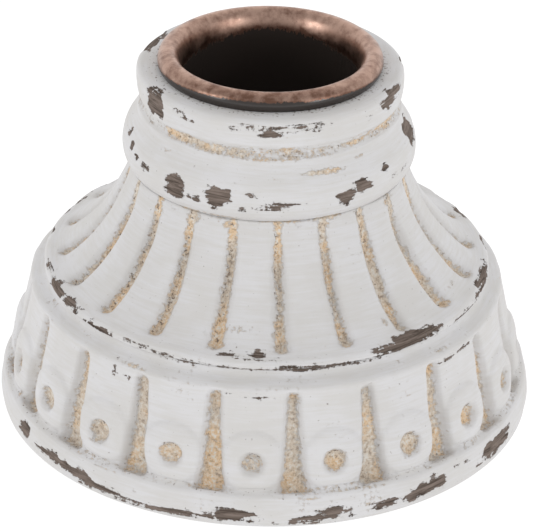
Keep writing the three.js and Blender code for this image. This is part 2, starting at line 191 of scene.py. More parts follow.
class CandleCupSettings(bpy.types.PropertyGroup):
    """The spun and rolled candle cup."""

    bore: length("Bore", "Inner radius of the cup", 11.15)
    wall: length("Wall", "Thickness of the sheet", 0.6)
    roll: length("Roll", "Radius of the rolled lip", 1.4)
    corner: length("Corner", "Inner radius between the wall and the floor", 1.5)
    screw_hole: length("Screw hole", "Radius of the countersunk hole in the floor", 3.4)
    copper: colour("Copper", "Rubbed copper of the lip", 0xB29485)
    # The front of the lip leans towards this colour: painted shade as well as toned copper
    copper_dark_and_shade: colour("Dark copper", "Copper still toned brown", 0x735649)
    patina: colour("Patina", "Black antique finish left in the recesses", 0x312B28)


class PaintedWoodSettings(bpy.types.PropertyGroup):
    """The finish of the turned and carved wood."""

    paint: colour("Paint", "Chalky white paint", 0xD3D2D3)
    paint_shade: colour("Paint shade", "The same paint where it is thin", 0xCDCBC9)
    wash_light: colour("Light wash", "Tan wash over the paint, rubbed back", 0xDAD5CD)
    wash: colour("Wash", "Tan wash in the hollows", 0xCDBFAE)
    wash_warm: colour("Warm wash", "Wash where the ochre shows", 0xDBBC96)
    wash_dark: colour("Dark wash", "Tan wash where it has pooled", 0x94867A)
    # This grime colour also stands for painted shade in creases, in dimples and under the cup's lip
    grime_and_shade: colour("Grime", "Dark specks left in corners", 0x74685F)
    wood: colour("Bare wood", "Dark wood where the paint is gone", 0x7E7169)
    wood_grain: colour("Wood grain", "Pores and grain lines of the bare wood", 0x40362F)
    chip_depth: length("Chip depth", "Thickness of the paint and its ground", 0.14)
    wobble: length("Wobble", "How far the hand carving strays", 0.55)


class FeltSettings(bpy.types.PropertyGroup):
    """The felt under the base."""

    edge: length("Edge", "Rounding of the felt's cut edge", 0.25)
    felt: colour("Felt", "Colour of the wool", 0x3A3733)


class StageSettings(bpy.types.PropertyGroup):
    """Floor, light and camera."""

    distance: length("Distance", "From the camera to the point it looks at", 405.2)
    aim: length("Aim", "Height of the point that the camera looks at", 18.1)
    elevation: FloatProperty(
        name="Elevation", description="How far the camera looks down",
        default=math.radians(28.76), unit="ROTATION")
    roll: FloatProperty(
        name="Roll", description="Tilt of the camera about its line of sight",
        default=math.radians(1.1), unit="ROTATION")
    lens: FloatProperty(
        name="Lens", description="Focal length", default=210.4, unit="CAMERA")
    floor: colour("Floor", "Pale floor", 0xFBFBFB)
    wall: FloatProperty(name="Wall", description="Brightness of the wall behind",
                        default=1.25, min=0)
    room: FloatProperty(name="Room", description="Brightness of the room in front",
                        default=0.7, min=0)
    key: FloatProperty(name="Key", description="Power of each soft light in front, in watts",
                       default=0.6, min=0)


# ---- Node helpers -------------------------------------------------------------------


def add(tree, kind, inputs=None, **settings):
    """Adds a node, sets its properties, and fills its inputs with values or links."""
    node = tree.nodes.new(kind)
    for name, value in settings.items():
        setattr(node, name, value)
    for key, value in (inputs or {}).items():
        if isinstance(value, bpy.types.NodeSocket):
            tree.links.new(value, node.inputs[key])
        else:
            node.inputs[key].default_value = value
    return node


def per(millimetres):
    """The texture scale that gives features about this many millimetres across."""
    return 1 / (millimetres * MM)


def new_material(name, **constants):
    """A material with one Principled shader, its constants set on the shader's own sockets."""
    material = bpy.data.materials.new(name)
    material.use_nodes = True
    tree = material.node_tree
    tree.nodes.clear()
    shader = add(tree, "ShaderNodeBsdfPrincipled")
    for socket, value in constants.items():
        shader.inputs[socket.replace("_", " ")].default_value = value
    add(tree, "ShaderNodeOutputMaterial", {"Surface": shader.outputs["BSDF"]})
    return material, tree, shader


# ---- Materials ----------------------------------------------------------------------


def painted_wood(paint):
    """Carved close-grained hardwood under chalk paint, with a tan wash and rubbed edges.

    The paint is dead matt and shows fine brush lines round the turning. The wash stays in the
    hollows as a mottled stipple. Rubbed spots show greyish brown wood with short pores.
    """
    material, tree, shader = new_material("chalk_painted_hardwood", Specular_IOR_Level=0.25)
    place = add(tree, "ShaderNodeTexCoord").outputs["Object"]
    bare = add(tree, "ShaderNodeAttribute", attribute_name="bare").outputs["Fac"]
    hollow = add(tree, "ShaderNodeAttribute", attribute_name="wash").outputs["Fac"]
    # Grime and painted shade, held in creases, dimples, groove sides and under the cup's lip
    grime_and_shade = add(tree, "ShaderNodeAttribute", attribute_name="grime_and_shade").outputs["Fac"]
    along = add(tree, "ShaderNodeAttribute", attribute_name="along").outputs["Fac"]

    # Brush lines 0.35 mm apart, drawn out round the turning
    apart = add(tree, "ShaderNodeSeparateXYZ", {"Vector": place})
    drawn = {"Z": along}
    for axis in "XY":
        drawn[axis] = add(tree, "ShaderNodeMath", {
            0: apart.outputs[axis], 1: DRAWN_OUT}, operation="MULTIPLY").outputs[0]
    drawn = add(tree, "ShaderNodeCombineXYZ", drawn)
    brush = add(tree, "ShaderNodeTexNoise", {
        "Vector": drawn.outputs[0], "Scale": per(0.35), "Detail": 3.0, "Roughness": 0.6})
    cloud = add(tree, "ShaderNodeTexNoise", {"Vector": place, "Scale": per(6.0), "Detail": 3.0})
    thin = add(tree, "ShaderNodeMath", {
        0: brush.outputs["Fac"], 1: cloud.outputs["Fac"]}, operation="MULTIPLY")
    thin = add(tree, "ShaderNodeMapRange", {
        "Value": thin.outputs[0], "From Min": 0.16, "From Max": 0.34})
    white = add(tree, "ShaderNodeMix", {
        0: thin.outputs[0], 6: paint.paint_shade, 7: paint.paint}, data_type="RGBA")

    # Wash: held in the hollows, with an edge as ragged as dry brushing leaves it
    ragged = add(tree, "ShaderNodeTexNoise", {
        "Vector": place, "Scale": per(0.6), "Detail": 5.0, "Roughness": 0.75})
    dragged = add(tree, "ShaderNodeTexNoise", {
        "Vector": drawn.outputs[0], "Scale": per(0.5), "Detail": 3.0, "Roughness": 0.6})
    deep = add(tree, "ShaderNodeMath", {0: hollow, 1: 1.4}, operation="MULTIPLY")
    held = add(tree, "ShaderNodeMath", {
        0: ragged.outputs["Fac"], 1: 2.8, 2: deep.outputs[0]}, operation="MULTIPLY_ADD")
    held = add(tree, "ShaderNodeMath", {
        0: dragged.outputs["Fac"], 1: 0.9, 2: held.outputs[0]}, operation="MULTIPLY_ADD")
    held = add(tree, "ShaderNodeMath", {
        0: cloud.outputs["Fac"], 1: 1.6, 2: held.outputs[0]}, operation="MULTIPLY_ADD")
    washed = add(tree, "ShaderNodeMapRange", {
        "Value": held.outputs[0], "From Min": 3.26, "From Max": 3.66})
    stipple = add(tree, "ShaderNodeTexNoise", {
        "Vector": place, "Scale": per(0.5), "Detail": 5.0, "Roughness": 0.75})
    warmth = add(tree, "ShaderNodeTexNoise", {"Vector": place, "Scale": per(3.5), "Detail": 2.0})
    warm = add(tree, "ShaderNodeMapRange", {
        "Value": warmth.outputs["Fac"], "From Min": 0.46, "From Max": 0.62, "To Max": 0.9})
    tan = add(tree, "ShaderNodeMix", {
        0: warm.outputs[0], 6: paint.wash, 7: paint.wash_warm}, data_type="RGBA")
    pooled = add(tree, "ShaderNodeMapRange", {
        "Value": stipple.outputs["Fac"], "From Min": 0.47, "From Max": 0.36, "To Max": 0.9})
    tan = add(tree, "ShaderNodeMix", {
        0: pooled.outputs[0], 6: tan.outputs[2], 7: paint.wash_dark}, data_type="RGBA")
    wiped = add(tree, "ShaderNodeMapRange", {
        "Value": stipple.outputs["Fac"], "From Min": 0.5, "From Max": 0.6})
    tan = add(tree, "ShaderNodeMix", {
        0: wiped.outputs[0], 6: tan.outputs[2], 7: paint.wash_light}, data_type="RGBA")
    toned = add(tree, "ShaderNodeMix", {
        0: washed.outputs[0], 6: white.outputs[2], 7: tan.outputs[2]}, data_type="RGBA")

    # Dark specks 0.4 mm across, many where grime and painted shade are held and few elsewhere
    dots = add(tree, "ShaderNodeTexNoise", {
        "Vector": place, "Scale": per(0.4), "Detail": 2.0, "Roughness": 0.6})
    dotted = add(tree, "ShaderNodeMath", {
        0: grime_and_shade, 1: 0.26, 2: dots.outputs["Fac"]}, operation="MULTIPLY_ADD")
    dotted = add(tree, "ShaderNodeMapRange", {
        "Value": dotted.outputs[0], "From Min": 0.71, "From Max": 0.8, "To Max": 0.9})
    toned = add(tree, "ShaderNodeMix", {
        0: dotted.outputs[0], 6: toned.outputs[2], 7: paint.grime_and_shade}, data_type="RGBA")

    # Bare wood: grain lines 0.55 mm apart that run round the turning, with frayed paint
    # round them
    frayed = add(tree, "ShaderNodeMath", {
        0: ragged.outputs["Fac"], 1: dragged.outputs["Fac"]}, operation="ADD")
    edge = add(tree, "ShaderNodeMath", {0: frayed.outputs[0], 1: 1.0}, operation="SUBTRACT")
    edge = add(tree, "ShaderNodeMath", {
        0: edge.outputs[0], 1: 1.5, 2: bare}, operation="MULTIPLY_ADD")
    chipped = add(tree, "ShaderNodeMapRange", {
        "Value": edge.outputs[0], "From Min": -0.03, "From Max": 0.05})
    grain = add(tree, "ShaderNodeTexNoise", {
        "Vector": drawn.outputs[0], "Scale": per(0.55), "Detail": 6.0, "Roughness": 0.8,
        "Distortion": 0.8})
    pores = add(tree, "ShaderNodeMapRange", {
        "Value": grain.outputs["Fac"], "From Min": 0.38, "From Max": 0.58})
    wood = add(tree, "ShaderNodeMix", {
        0: pores.outputs[0], 6: paint.wood_grain, 7: paint.wood}, data_type="RGBA")
    final = add(tree, "ShaderNodeMix", {
        0: chipped.outputs[0], 6: toned.outputs[2], 7: wood.outputs[2]}, data_type="RGBA")
    tree.links.new(final.outputs[2], shader.inputs["Base Color"])
    rough = add(tree, "ShaderNodeMapRange", {
        "Value": chipped.outputs[0], "To Min": 0.78, "To Max": 0.9})
    tree.links.new(rough.outputs[0], shader.inputs["Roughness"])

    # Relief: brush lines, then the stipple, then the step down to bare wood
    lines = add(tree, "ShaderNodeBump", {
        "Height": brush.outputs["Fac"], "Strength": 0.3, "Distance": 0.02 * MM})
    pits = add(tree, "ShaderNodeMath", {
        0: stipple.outputs["Fac"], 1: washed.outputs[0]}, operation="MULTIPLY")
    pits = add(tree, "ShaderNodeBump", {
        "Height": pits.outputs[0], "Strength": 0.9, "Distance": 0.15 * MM,
        "Normal": lines.outputs["Normal"]})
    step = add(tree, "ShaderNodeMath", {0: 1.0, 1: chipped.outputs[0]}, operation="SUBTRACT")
    step = add(tree, "ShaderNodeBump", {
        "Height": step.outputs[0], "Strength": 0.8, "Distance": 0.1 * MM,
        "Normal": pits.outputs["Normal"]})
    tree.links.new(step.outputs["Normal"], shader.inputs["Normal"])
    return material


def antique_copper(cup):
    """Spun sheet with an antique copper finish: black patina, rubbed back to copper.

    The rolled lip is burnished to a soft brown copper. The black that is left has more gloss
    than the copper, and fine scratches run down the bore.
    """
    material, tree, shader = new_material("antique_copper")
    place = add(tree, "ShaderNodeTexCoord").outputs["Object"]
    # rubbed is lower on the front of the lip, which holds painted shade as well as patina
    rubbed = add(tree, "ShaderNodeAttribute", attribute_name="rubbed").outputs["Fac"]
    flake = add(tree, "ShaderNodeTexNoise", {
        "Vector": place, "Scale": per(0.8), "Detail": 6.0, "Roughness": 0.75})
    stretch = add(tree, "ShaderNodeMapping", {"Vector": place, "Scale": (1.0, 1.0, 0.12)})
    scratch = add(tree, "ShaderNodeTexNoise", {
        "Vector": stretch.outputs[0], "Scale": per(0.3), "Detail": 3.0, "Roughness": 0.6})
    broken = add(tree, "ShaderNodeMath", {
        0: flake.outputs["Fac"], 1: scratch.outputs["Fac"]}, operation="ADD")
    shown = add(tree, "ShaderNodeMath", {
        0: broken.outputs[0], 1: 1.0, 2: rubbed}, operation="MULTIPLY_ADD")
    shown = add(tree, "ShaderNodeMapRange", {
        "Value": shown.outputs[0], "From Min": 1.42, "From Max": 1.56})
    tone = add(tree, "ShaderNodeTexNoise", {
        "Vector": place, "Scale": per(1.8), "Detail": 6.0, "Roughness": 0.7})
    tone = add(tree, "ShaderNodeMath", {
        0: rubbed, 1: 0.6, 2: tone.outputs["Fac"]}, operation="MULTIPLY_ADD")
    tone = add(tree, "ShaderNodeMapRange", {
        "Value": tone.outputs[0], "From Min": 0.88, "From Max": 1.16})
    copper = add(tree, "ShaderNodeMix", {
        0: tone.outputs[0], 6: cup.copper_dark_and_shade, 7: cup.copper}, data_type="RGBA")
    surface = add(tree, "ShaderNodeMix", {
        0: shown.outputs[0], 6: cup.patina, 7: copper.outputs[2]}, data_type="RGBA")
    tree.links.new(surface.outputs[2], shader.inputs["Base Color"])
    tree.links.new(shown.outputs[0], shader.inputs["Metallic"])
    rough = add(tree, "ShaderNodeMapRange", {
        "Value": flake.outputs["Fac"], "From Min": 0.3, "From Max": 0.7,
        "To Min": 0.26, "To Max": 0.46})
    gloss = add(tree, "ShaderNodeMapRange", {"Value": shown.outputs[0], "To Min": 0.5})
    rough = add(tree, "ShaderNodeMath", {
        0: rough.outputs[0], 1: gloss.outputs[0]}, operation="MULTIPLY")
    tree.links.new(rough.outputs[0], shader.inputs["Roughness"])
    dents = add(tree, "ShaderNodeBump", {
        "Height": broken.outputs[0], "Strength": 0.3, "Distance": 0.03 * MM})
    tree.links.new(dents.outputs["Normal"], shader.inputs["Normal"])
    return material


def black_steel():
    """Blackened steel of a wood screw: dull, with brighter rubbed grain."""
    material, tree, shader = new_material("blackened_steel", Metallic=0.9)
    place = add(tree, "ShaderNodeTexCoord").outputs["Object"]
    wear = add(tree, "ShaderNodeTexNoise", {
        "Vector": place, "Scale": per(0.6), "Detail": 5.0, "Roughness": 0.7})
    shade = add(tree, "ShaderNodeValToRGB", {"Fac": wear.outputs["Fac"]})
    shade.color_ramp.elements[0].color = linear(0x1E1C1B)
    shade.color_ramp.elements[1].color = linear(0x6B6763)
    tree.links.new(shade.outputs["Color"], shader.inputs["Base Color"])
    rough = add(tree, "ShaderNodeMapRange", {
        "Value": wear.outputs["Fac"], "To Min": 0.55, "To Max": 0.3})
    tree.links.new(rough.outputs[0], shader.inputs["Roughness"])
    return material


def wool_felt(felt):
    """Pressed wool felt: short matted fibres, matt, with a faint sheen at the edge."""
    material, tree, shader = new_material(
        "pressed_wool_felt", Roughness=0.95, Sheen_Weight=0.3, Sheen_Roughness=0.5)
    place = add(tree, "ShaderNodeTexCoord").outputs["Object"]
    fibre = add(tree, "ShaderNodeTexNoise", {
        "Vector": place, "Scale": per(0.35), "Detail": 6.0, "Roughness": 0.8, "Distortion": 1.5})
    between = [0.45 * c for c in felt.felt[:3]] + [1.0]
    shade = add(tree, "ShaderNodeMix", {
        0: fibre.outputs["Fac"], 6: between, 7: felt.felt}, data_type="RGBA")
    tree.links.new(shade.outputs[2], shader.inputs["Base Color"])
    nap = add(tree, "ShaderNodeBump", {
        "Height": fibre.outputs["Fac"], "Strength": 0.8, "Distance": 0.15 * MM})
    tree.links.new(nap.outputs["Normal"], shader.inputs["Normal"])
    return material


def plain_floor(stage):
    """Seamless white paper, lit until it hardly shows."""
    sent_back, glow = 0.3, 0.85  # how much of the studio's light it sends back, and its own
    shade = [sent_back * c for c in stage.floor[:3]] + [1.0]
    return new_material(
        "white_paper", Base_Color=shade, Roughness=1.0, Specular_IOR_Level=0.0,
        Emission_Color=stage.floor, Emission_Strength=glow)[0]


# ---- Outlines and wedges ------------------------------------------------------------


def drawn_outline(start, *strokes):
    """Points of radius and height, in millimetres, along strokes drawn one after another.

    A stroke is a spacing and an end point, with two control points between for a curve.
    """
    points = [np.array(start, float)]
    for spacing, *corners in strokes:
        corners = np.array([points[-1], *corners], float)
        reach = np.linalg.norm(np.diff(corners, axis=0), axis=1).sum()
        steps = max(1, round(reach / spacing))
        for t in np.linspace(0, 1, steps + 1)[1:]:
            if len(corners) == 2:
                points.append(corners[0] + (corners[1] - corners[0]) * t)
            else:
                weights = np.array([(1 - t) ** 3, 3 * t * (1 - t) ** 2, 3 * t * t * (1 - t), t ** 3])
                points.append(weights @ corners)
    return np.array(points) * MM


def ramp(values, low, high):
    """0 below low, 1 above high, and a smooth rise between."""
    t = np.clip((values - low) / (high - low), 0, 1)
    return t * t * (3 - 2 * t)


def wedge(name, outline, count, columns, wash=0.0, grime_and_shade=0.0, carve=None):
    """One of count equal wedges of a turned piece, standing at the front.

    carve(across, radius, height) gives how far the surface moves out, and how much wash and
    grime it holds, from the distance to the wedge's middle line and the place on the outline.
    """
    radius, height = outline[:, :1], outline[:, 1:]
    steps = np.linalg.norm(np.diff(outline, axis=0), axis=1)
    along = np.concatenate([[0], np.cumsum(steps)])
    slope = np.gradient(outline, axis=0)
    slope /= np.linalg.norm(slope, axis=1)[:, None] + 1e-12
    angle = np.linspace(-math.pi / count, math.pi / count, columns + 1)[None, :]
    out = np.zeros((len(outline), columns + 1))
    wash = out + np.reshape(wash, (-1, 1))
    grime_and_shade = out + np.reshape(grime_and_shade, (-1, 1))
    if carve:
        out, carved_wash, carved_grime_and_shade = carve(radius * angle, radius, height)
        wash = np.maximum(wash, carved_wash)
        grime_and_shade = np.maximum(grime_and_shade, carved_grime_and_shade)
    moved_radius = radius + slope[:, 1:] * out
    moved_height = height - slope[:, :1] * out
    points = np.stack([
        moved_radius * np.sin(angle), -moved_radius * np.cos(angle),
        moved_height + 0 * angle], axis=-1)
    rows = np.arange(len(outline) - 1)[:, None] * (columns + 1)
    corner = (rows + np.arange(columns)[None, :]).reshape(-1, 1)
    faces = corner + np.array([0, 1, columns + 2, columns + 1])
    mesh = bpy.data.meshes.new(name)
    mesh.from_pydata(points.reshape(-1, 3), [], faces.tolist())
    # Only the outside strays, and not where the piece meets its neighbours
    free = np.minimum(height - height.min(), height.max() - height)
    widest = radius.max()
    loose = ramp(free, 0, 0.8 * MM) * ramp(radius, 0.4 * widest, 0.48 * widest)
    values = {"wash": wash, "grime_and_shade": grime_and_shade, "along": out * 0 + along[:, None],
              "loose": out * 0 + loose}
    for attribute, value in values.items():
        layer = mesh.attributes.new(attribute, "FLOAT", "POINT")
        layer.data.foreach_set("value", value.astype(np.float32).ravel())
    return mesh


def ring_tree():
    """Geometry Nodes that repeat a wedge round +Z, weld it, and let it stray as hand work does."""
    tree = bpy.data.node_groups.new("ring_of_wedges", "GeometryNodeTree")
    face = tree.interface
    face.new_socket(name="Geometry", in_out="INPUT", socket_type="NodeSocketGeometry")
    face.new_socket(name="Count", in_out="INPUT", socket_type="NodeSocketInt")
    face.new_socket(name="First turn", in_out="INPUT", socket_type="NodeSocketFloat")
    face.new_socket(name="Wobble", in_out="INPUT", socket_type="NodeSocketFloat")
    face.new_socket(name="Wobble size", in_out="INPUT", socket_type="NodeSocketFloat")
    face.new_socket(name="Seed", in_out="INPUT", socket_type="NodeSocketFloat")
    face.new_socket(name="Material", in_out="INPUT", socket_type="NodeSocketMaterial")
    face.new_socket(name="Geometry", in_out="OUTPUT", socket_type="NodeSocketGeometry")
    given = add(tree, "NodeGroupInput").outputs

    points = add(tree, "GeometryNodeMeshLine", {"Count": given["Count"], "Offset": (0, 0, 0)})
    index = add(tree, "GeometryNodeInputIndex")
    step = add(tree, "ShaderNodeMath", {0: math.tau, 1: given["Count"]}, operation="DIVIDE")
    turn = add(tree, "ShaderNodeMath", {
        0: index.outputs[0], 1: step.outputs[0], 2: given["First turn"]}, operation="MULTIPLY_ADD")
    euler = add(tree, "ShaderNodeCombineXYZ", {"Z": turn.outputs[0]})
    rotation = add(tree, "FunctionNodeEulerToRotation", {"Euler": euler.outputs[0]})
    copies = add(tree, "GeometryNodeInstanceOnPoints", {
        "Points": points.outputs[0], "Instance": given["Geometry"],
        "Rotation": rotation.outputs[0]})
    whole = add(tree, "GeometryNodeRealizeInstances", {"Geometry": copies.outputs[0]})
    welded = add(tree, "GeometryNodeMergeByDistance", {
        "Geometry": whole.outputs[0], "Distance": 0.004 * MM})

    position = add(tree, "GeometryNodeInputPosition")
    scale = add(tree, "ShaderNodeMath", {0: 1.0, 1: given["Wobble size"]}, operation="DIVIDE")
    stray = add(tree, "ShaderNodeTexNoise", {
        "Vector": position.outputs[0], "W": given["Seed"], "Scale": scale.outputs[0],
        "Detail": 1.5}, noise_dimensions="4D")
    centred = add(tree, "ShaderNodeVectorMath", {
        0: stray.outputs["Color"], 1: (0.5, 0.5, 0.5)}, operation="SUBTRACT")
    loose = add(tree, "GeometryNodeInputNamedAttribute", {"Name": "loose"}, data_type="FLOAT")
    amount = add(tree, "ShaderNodeMath", {
        0: loose.outputs["Attribute"], 1: given["Wobble"]}, operation="MULTIPLY")
    offset = add(tree, "ShaderNodeVectorMath", {0: centred.outputs[0]}, operation="SCALE")
    tree.links.new(amount.outputs[0], offset.inputs["Scale"])
    moved = add(tree, "GeometryNodeSetPosition", {
        "Geometry": welded.outputs[0], "Offset": offset.outputs[0]})
    smooth = add(tree, "GeometryNodeSetShadeSmooth", {"Geometry": moved.outputs[0]})
    single = add(tree, "GeometryNodeRealizeInstances", {"Geometry": smooth.outputs[0]})
    finished = add(tree, "GeometryNodeSetMaterial", {
        "Geometry": single.outputs[0], "Material": given["Material"]})
    add(tree, "NodeGroupOutput", {"Geometry": finished.outputs[0]})
    return tree


def ring_of_wedges(name, wedge_mesh, material, count, first_turn=0.0, wobble=0.0,
                   wobble_size=4 * MM, seed=0.0):
    """A plain mesh made by repeating wedge_mesh round the axis."""
    tree = bpy.data.node_groups.get("ring_of_wedges") or ring_tree()
    source = bpy.data.objects.new(name + "_wedge", wedge_mesh)
    bpy.context.scene.collection.objects.link(source)
    modifier = source.modifiers.new("ring", "NODES")
    modifier.node_group = tree
    given = {
        "Count": count, "First turn": first_turn, "Wobble": wobble,
        "Wobble size": wobble_size, "Seed": seed, "Material": material,
    }
    for item in tree.interface.items_tree:
        if item.in_out == "INPUT" and item.name in given:
            modifier[item.identifier] = given[item.name]
    ready = source.evaluated_get(bpy.context.evaluated_depsgraph_get())
    mesh = bpy.data.meshes.new_from_object(ready)
    bpy.data.objects.remove(source)
    mesh.name = name
    return mesh


# ---- Wear ---------------------------------------------------------------------------

BACK_START, BACK_SWEEP = 88, 184  # degrees, round the back
NEAR_TURN, NEAR_RISE = 0.06, 0.35 * MM  # the points that tell how wide the piece is at a mark


def back_chips(seed):
    """Bare patches for the side that faces away, of the same kinds as those in front."""
    draw = random.Random(seed)
    chips = []
    for height, spread, number, size in BACK_WEAR:
        for place in range(number):
            azimuth = BACK_START + BACK_SWEEP * (place + draw.uniform(0.2, 0.8)) / number
            wide = size * draw.uniform(0.4, 1.5)
            tall = wide * draw.uniform(0.15, 0.5)
            chips.append((azimuth, height + draw.uniform(-spread, spread), wide, tall))
    return tuple(chips)


def points_of(mesh):
    """The vertices of a mesh as an array."""
    points = np.empty(len(mesh.vertices) * 3, np.float32)
    mesh.vertices.foreach_get("co", points)
    return points.reshape(-1, 3)


def spots(points, marks):
    """For each mark, its half width, how far away each point lies, and its strength.

    The distance is 1 at the mark's edge. A mark lies on the outermost surface at its height.
    """
    azimuth = np.arctan2(points[:, 0], -points[:, 1])
    radius = np.hypot(points[:, 0], points[:, 1])
    for centre, level, wide, tall, *strength in marks:
        turn = (azimuth - math.radians(centre) + math.pi) % math.tau - math.pi
        rise = points[:, 2] - level * MM
        near = (np.abs(turn) < NEAR_TURN) & (np.abs(rise) < NEAR_RISE)
        if near.any():
            inwards = radius - radius[near].max()
            away = np.hypot(turn * radius / (wide * MM), np.hypot(inwards, rise) / (tall * MM))
            yield min(wide, tall), away, strength


def weather(mesh, paint, seed):
    """Rubs the paint off a piece at its bare patches, and wipes the wash over it."""
    points = points_of(mesh)
    normals = np.empty(points.size, np.float32)
    mesh.vertices.foreach_get("normal", normals)
    rough = np.array([noise.noise(Vector(point) * per(1.5)) for point in points])
    bare = np.full(len(points), -2.0)
    chips = COLLAR_CHIPS + LEDGE_CHIPS + DRUM_CHIPS + BAND_CHIPS + back_chips(seed)
    for size, away, _ in spots(points, chips):
        bare = np.maximum(bare, (1 - away + 0.75 * rough) * size)
    layer = mesh.attributes.new("bare", "FLOAT", "POINT")
    layer.data.foreach_set("value", bare.astype(np.float32))

    wash = np.empty(len(points), np.float32)
    mesh.attributes["wash"].data.foreach_get("value", wash)
    for _, away, strength in spots(points, WASH_MARKS):
        wash = np.maximum(wash, 0.8 * strength[0] * (1 - ramp(away, 0.2, 1.5)))
    mesh.attributes["wash"].data.foreach_set("value", wash.astype(np.float32))

    sunk = paint.chip_depth * ramp(bare, -0.1, 0.15)[:, None]
    mesh.vertices.foreach_set("co", (points - normals.reshape(-1, 3) * sunk).ravel())
    mesh.update()


def rub_and_shade(mesh, size):
    """Marks where the black finish of the cup has been rubbed back to copper, and darkens the front of
    the copper as painted shade.
    """
    points = points_of(mesh)
    azimuth = np.arctan2(points[:, 0], -points[:, 1])
    radius = np.hypot(points[:, 0], points[:, 1])
    top, crest = CUP_HIGH.z, CUP_HIGH.x - size.roll
    # Outside, black stays under the roll, highest in front. Inside, copper ends 2 to 5 mm down
    front = np.clip(np.cos(azimuth), 0, 1)
    back = np.clip(-np.cos(azimuth), 0, 1) ** 6
    under = WOOD_TOP + (0.05 + 1.15 * front ** 0.7) * MM
    outside = ramp(points[:, 2], under - 0.25 * MM, under + 0.35 * MM)
    depth = top - points[:, 2]
    inside = 1 - ramp(depth, (2.0 - 0.6 * back) * MM, (4.8 - 1.4 * back) * MM)
    # The front of the lip is rubbed less, so its copper turns darker and browner: partly patina, partly
    # painted shade
    rubbed = np.where(radius > crest, outside, inside) * (1 - 0.24 * front ** 2)
    rubbed[(depth > 3 * MM) & (radius > size.bore + 0.3 * MM)] = 0
    layer = mesh.attributes.new("rubbed", "FLOAT", "POINT")
    layer.data.foreach_set("value", rubbed.astype(np.float32))


def place_piece(name, mesh, node):
    """Puts a finished mesh in the scene in place of its CAD node."""
    piece = bpy.data.objects.new(name, mesh)
    bpy.context.scene.collection.objects.link(piece)
    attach(piece, "root")
    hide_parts(node)
    return piece


# ---- Pieces -------------------------------------------------------------------------


def shared_paint(scene):
    """The one painted wood material that the three turned pieces share."""
    return bpy.data.materials.get("chalk_painted_hardwood") or painted_wood(scene.painted_wood)


class CANDLESTICK_OT_beaded_base(bpy.types.Operator):
    """Build the foot: a smooth band and a drum of carved tongues that end in bosses"""

    bl_idname = "candlestick.beaded_base"
    bl_label = "Beaded base"

    def execute(self, context):
        size = context.scene.beaded_base
        foot, low, seam = FOOT_RADIUS / MM, BASE_LOW.z / MM, SEAM / MM
        ledge, felt = LEDGE_RADIUS / MM, FELT_HIGH.x / MM + 0.3
        recess, mortise, mortise_floor = FELT_HIGH.z / MM, 9.3, seam - 8.5
        band_top, drum_top = low + 4.15, seam - 2.1
        drum_foot, drum_head = foot - 1.7, ledge + 1.8
        outline = drawn_outline(
            (0, recess),
            (4, (felt, recess)), (1, (felt, low)), (1, (foot - 0.6, low)),
            (0.2, (foot - 0.3, low), (foot - 0.15, low + 0.15), (foot - 0.1, low + 0.6)),
            (0.28, (foot + 0.05, low + 1.7), (foot + 0.05, low + 2.8), (foot - 0.4, band_top - 0.3)),
            (0.2, (foot - 0.5, band_top), (foot - 0.9, band_top + 0.1), (drum_foot, band_top + 0.5)),
            (0.26, (drum_foot - 0.3, band_top + 4.2), (drum_head + 0.75, drum_top - 4.2),
             (drum_head, drum_top)),
            (0.25, (drum_head - 0.15, drum_top + 0.6), (ledge + 0.1, drum_top + 0.55),
             (ledge - 0.2, drum_top + 1.3)),
            (0.25, (ledge - 0.3, seam)),
            (4, (mortise, seam)), (3, (mortise, mortise_floor)), (4, (0, mortise_floor)),
        )
        lean = math.atan2(drum_foot - drum_head, drum_top - band_top)
        boss_at = size.boss_radius * 0.98

        def carve(across, radius, height):
            up = (height - band_top * MM) / math.cos(lean)
            face = (drum_top - band_top) * MM / math.cos(lean)
            outside = radius > (ledge + 0.6) * MM
            pitch = np.maximum(radius, MM) * math.pi / size.tongues
            from_gulley = pitch - np.abs(across)
            share = np.clip((up - boss_at) / (face - boss_at), 0, 1)
            low_share = np.clip(1 - up / boss_at, 0, 1)
            half = (size.gulley_width + (size.gulley_top - size.gulley_width) * share
                    + (size.gulley_foot - size.gulley_width) * low_share ** 2) / 2
            tongue = ramp(from_gulley - half, -0.4 * MM, 0.5 * MM)
            within = ramp(up, 0.15 * MM, 0.6 * MM) * ramp(face - up, -0.3 * MM, 1.3 * MM) * outside
            crown = -0.25 * MM * (across / pitch) ** 2
            reach = np.hypot(across, up - boss_at)
            swell = np.sqrt(np.clip(1 - (reach / size.boss_radius) ** 2, 0, 1))
            boss = size.boss_height * swell * (1 - 0.25 * swell)
            hole = (1 - ramp(reach / size.dimple_radius, 0.5, 1.1)) * within
            out = (crown + boss) * tongue - size.gulley_depth * (1 - tongue)
            out = out * within - size.dimple_depth * hole
            stain = (1 - ramp(from_gulley - half, -0.7 * MM, 0.5 * MM)) * (0.1 + 0.85 * within)
            # Dark specks along each gulley's edges and on the upper wall of each dimple: grime, and
            # painted shade where the light from above leaves these walls in shade
            corner = 1 - ramp(np.abs(from_gulley - half + 0.35 * MM), 0, 0.4 * MM)
            above = ramp((up - boss_at) / size.dimple_radius, 0.1, 0.7)
            return out, np.maximum(stain, 0.9 * hole), np.maximum(0.3 * corner * within, hole * above)

        near_line = np.abs(outline[:, 1] - (band_top + 0.35) * MM) < 0.3 * MM
        near_cove = np.abs(outline[:, 1] - (seam - 1.3) * MM) < 0.7 * MM
        wash = (0.3 * near_line + 0.12 * near_cove) * (outline[:, 0] > ledge * MM)
        # The crease at the top of the band gets dark specks too: grime and painted shade
        mesh = wedge("tongue", outline, size.tongues, 40, wash, 0.3 * near_line, carve)
        paint = context.scene.painted_wood
        ring = ring_of_wedges(
            "beaded_base_wood", mesh, shared_paint(context.scene), size.tongues,
            first_turn=size.first_tongue, wobble=paint.wobble, wobble_size=7 * MM, seed=1.0)
        weather(ring, paint, 1)
        place_piece("beaded_base_wood", ring, "beaded_base")
        return {"FINISHED"}


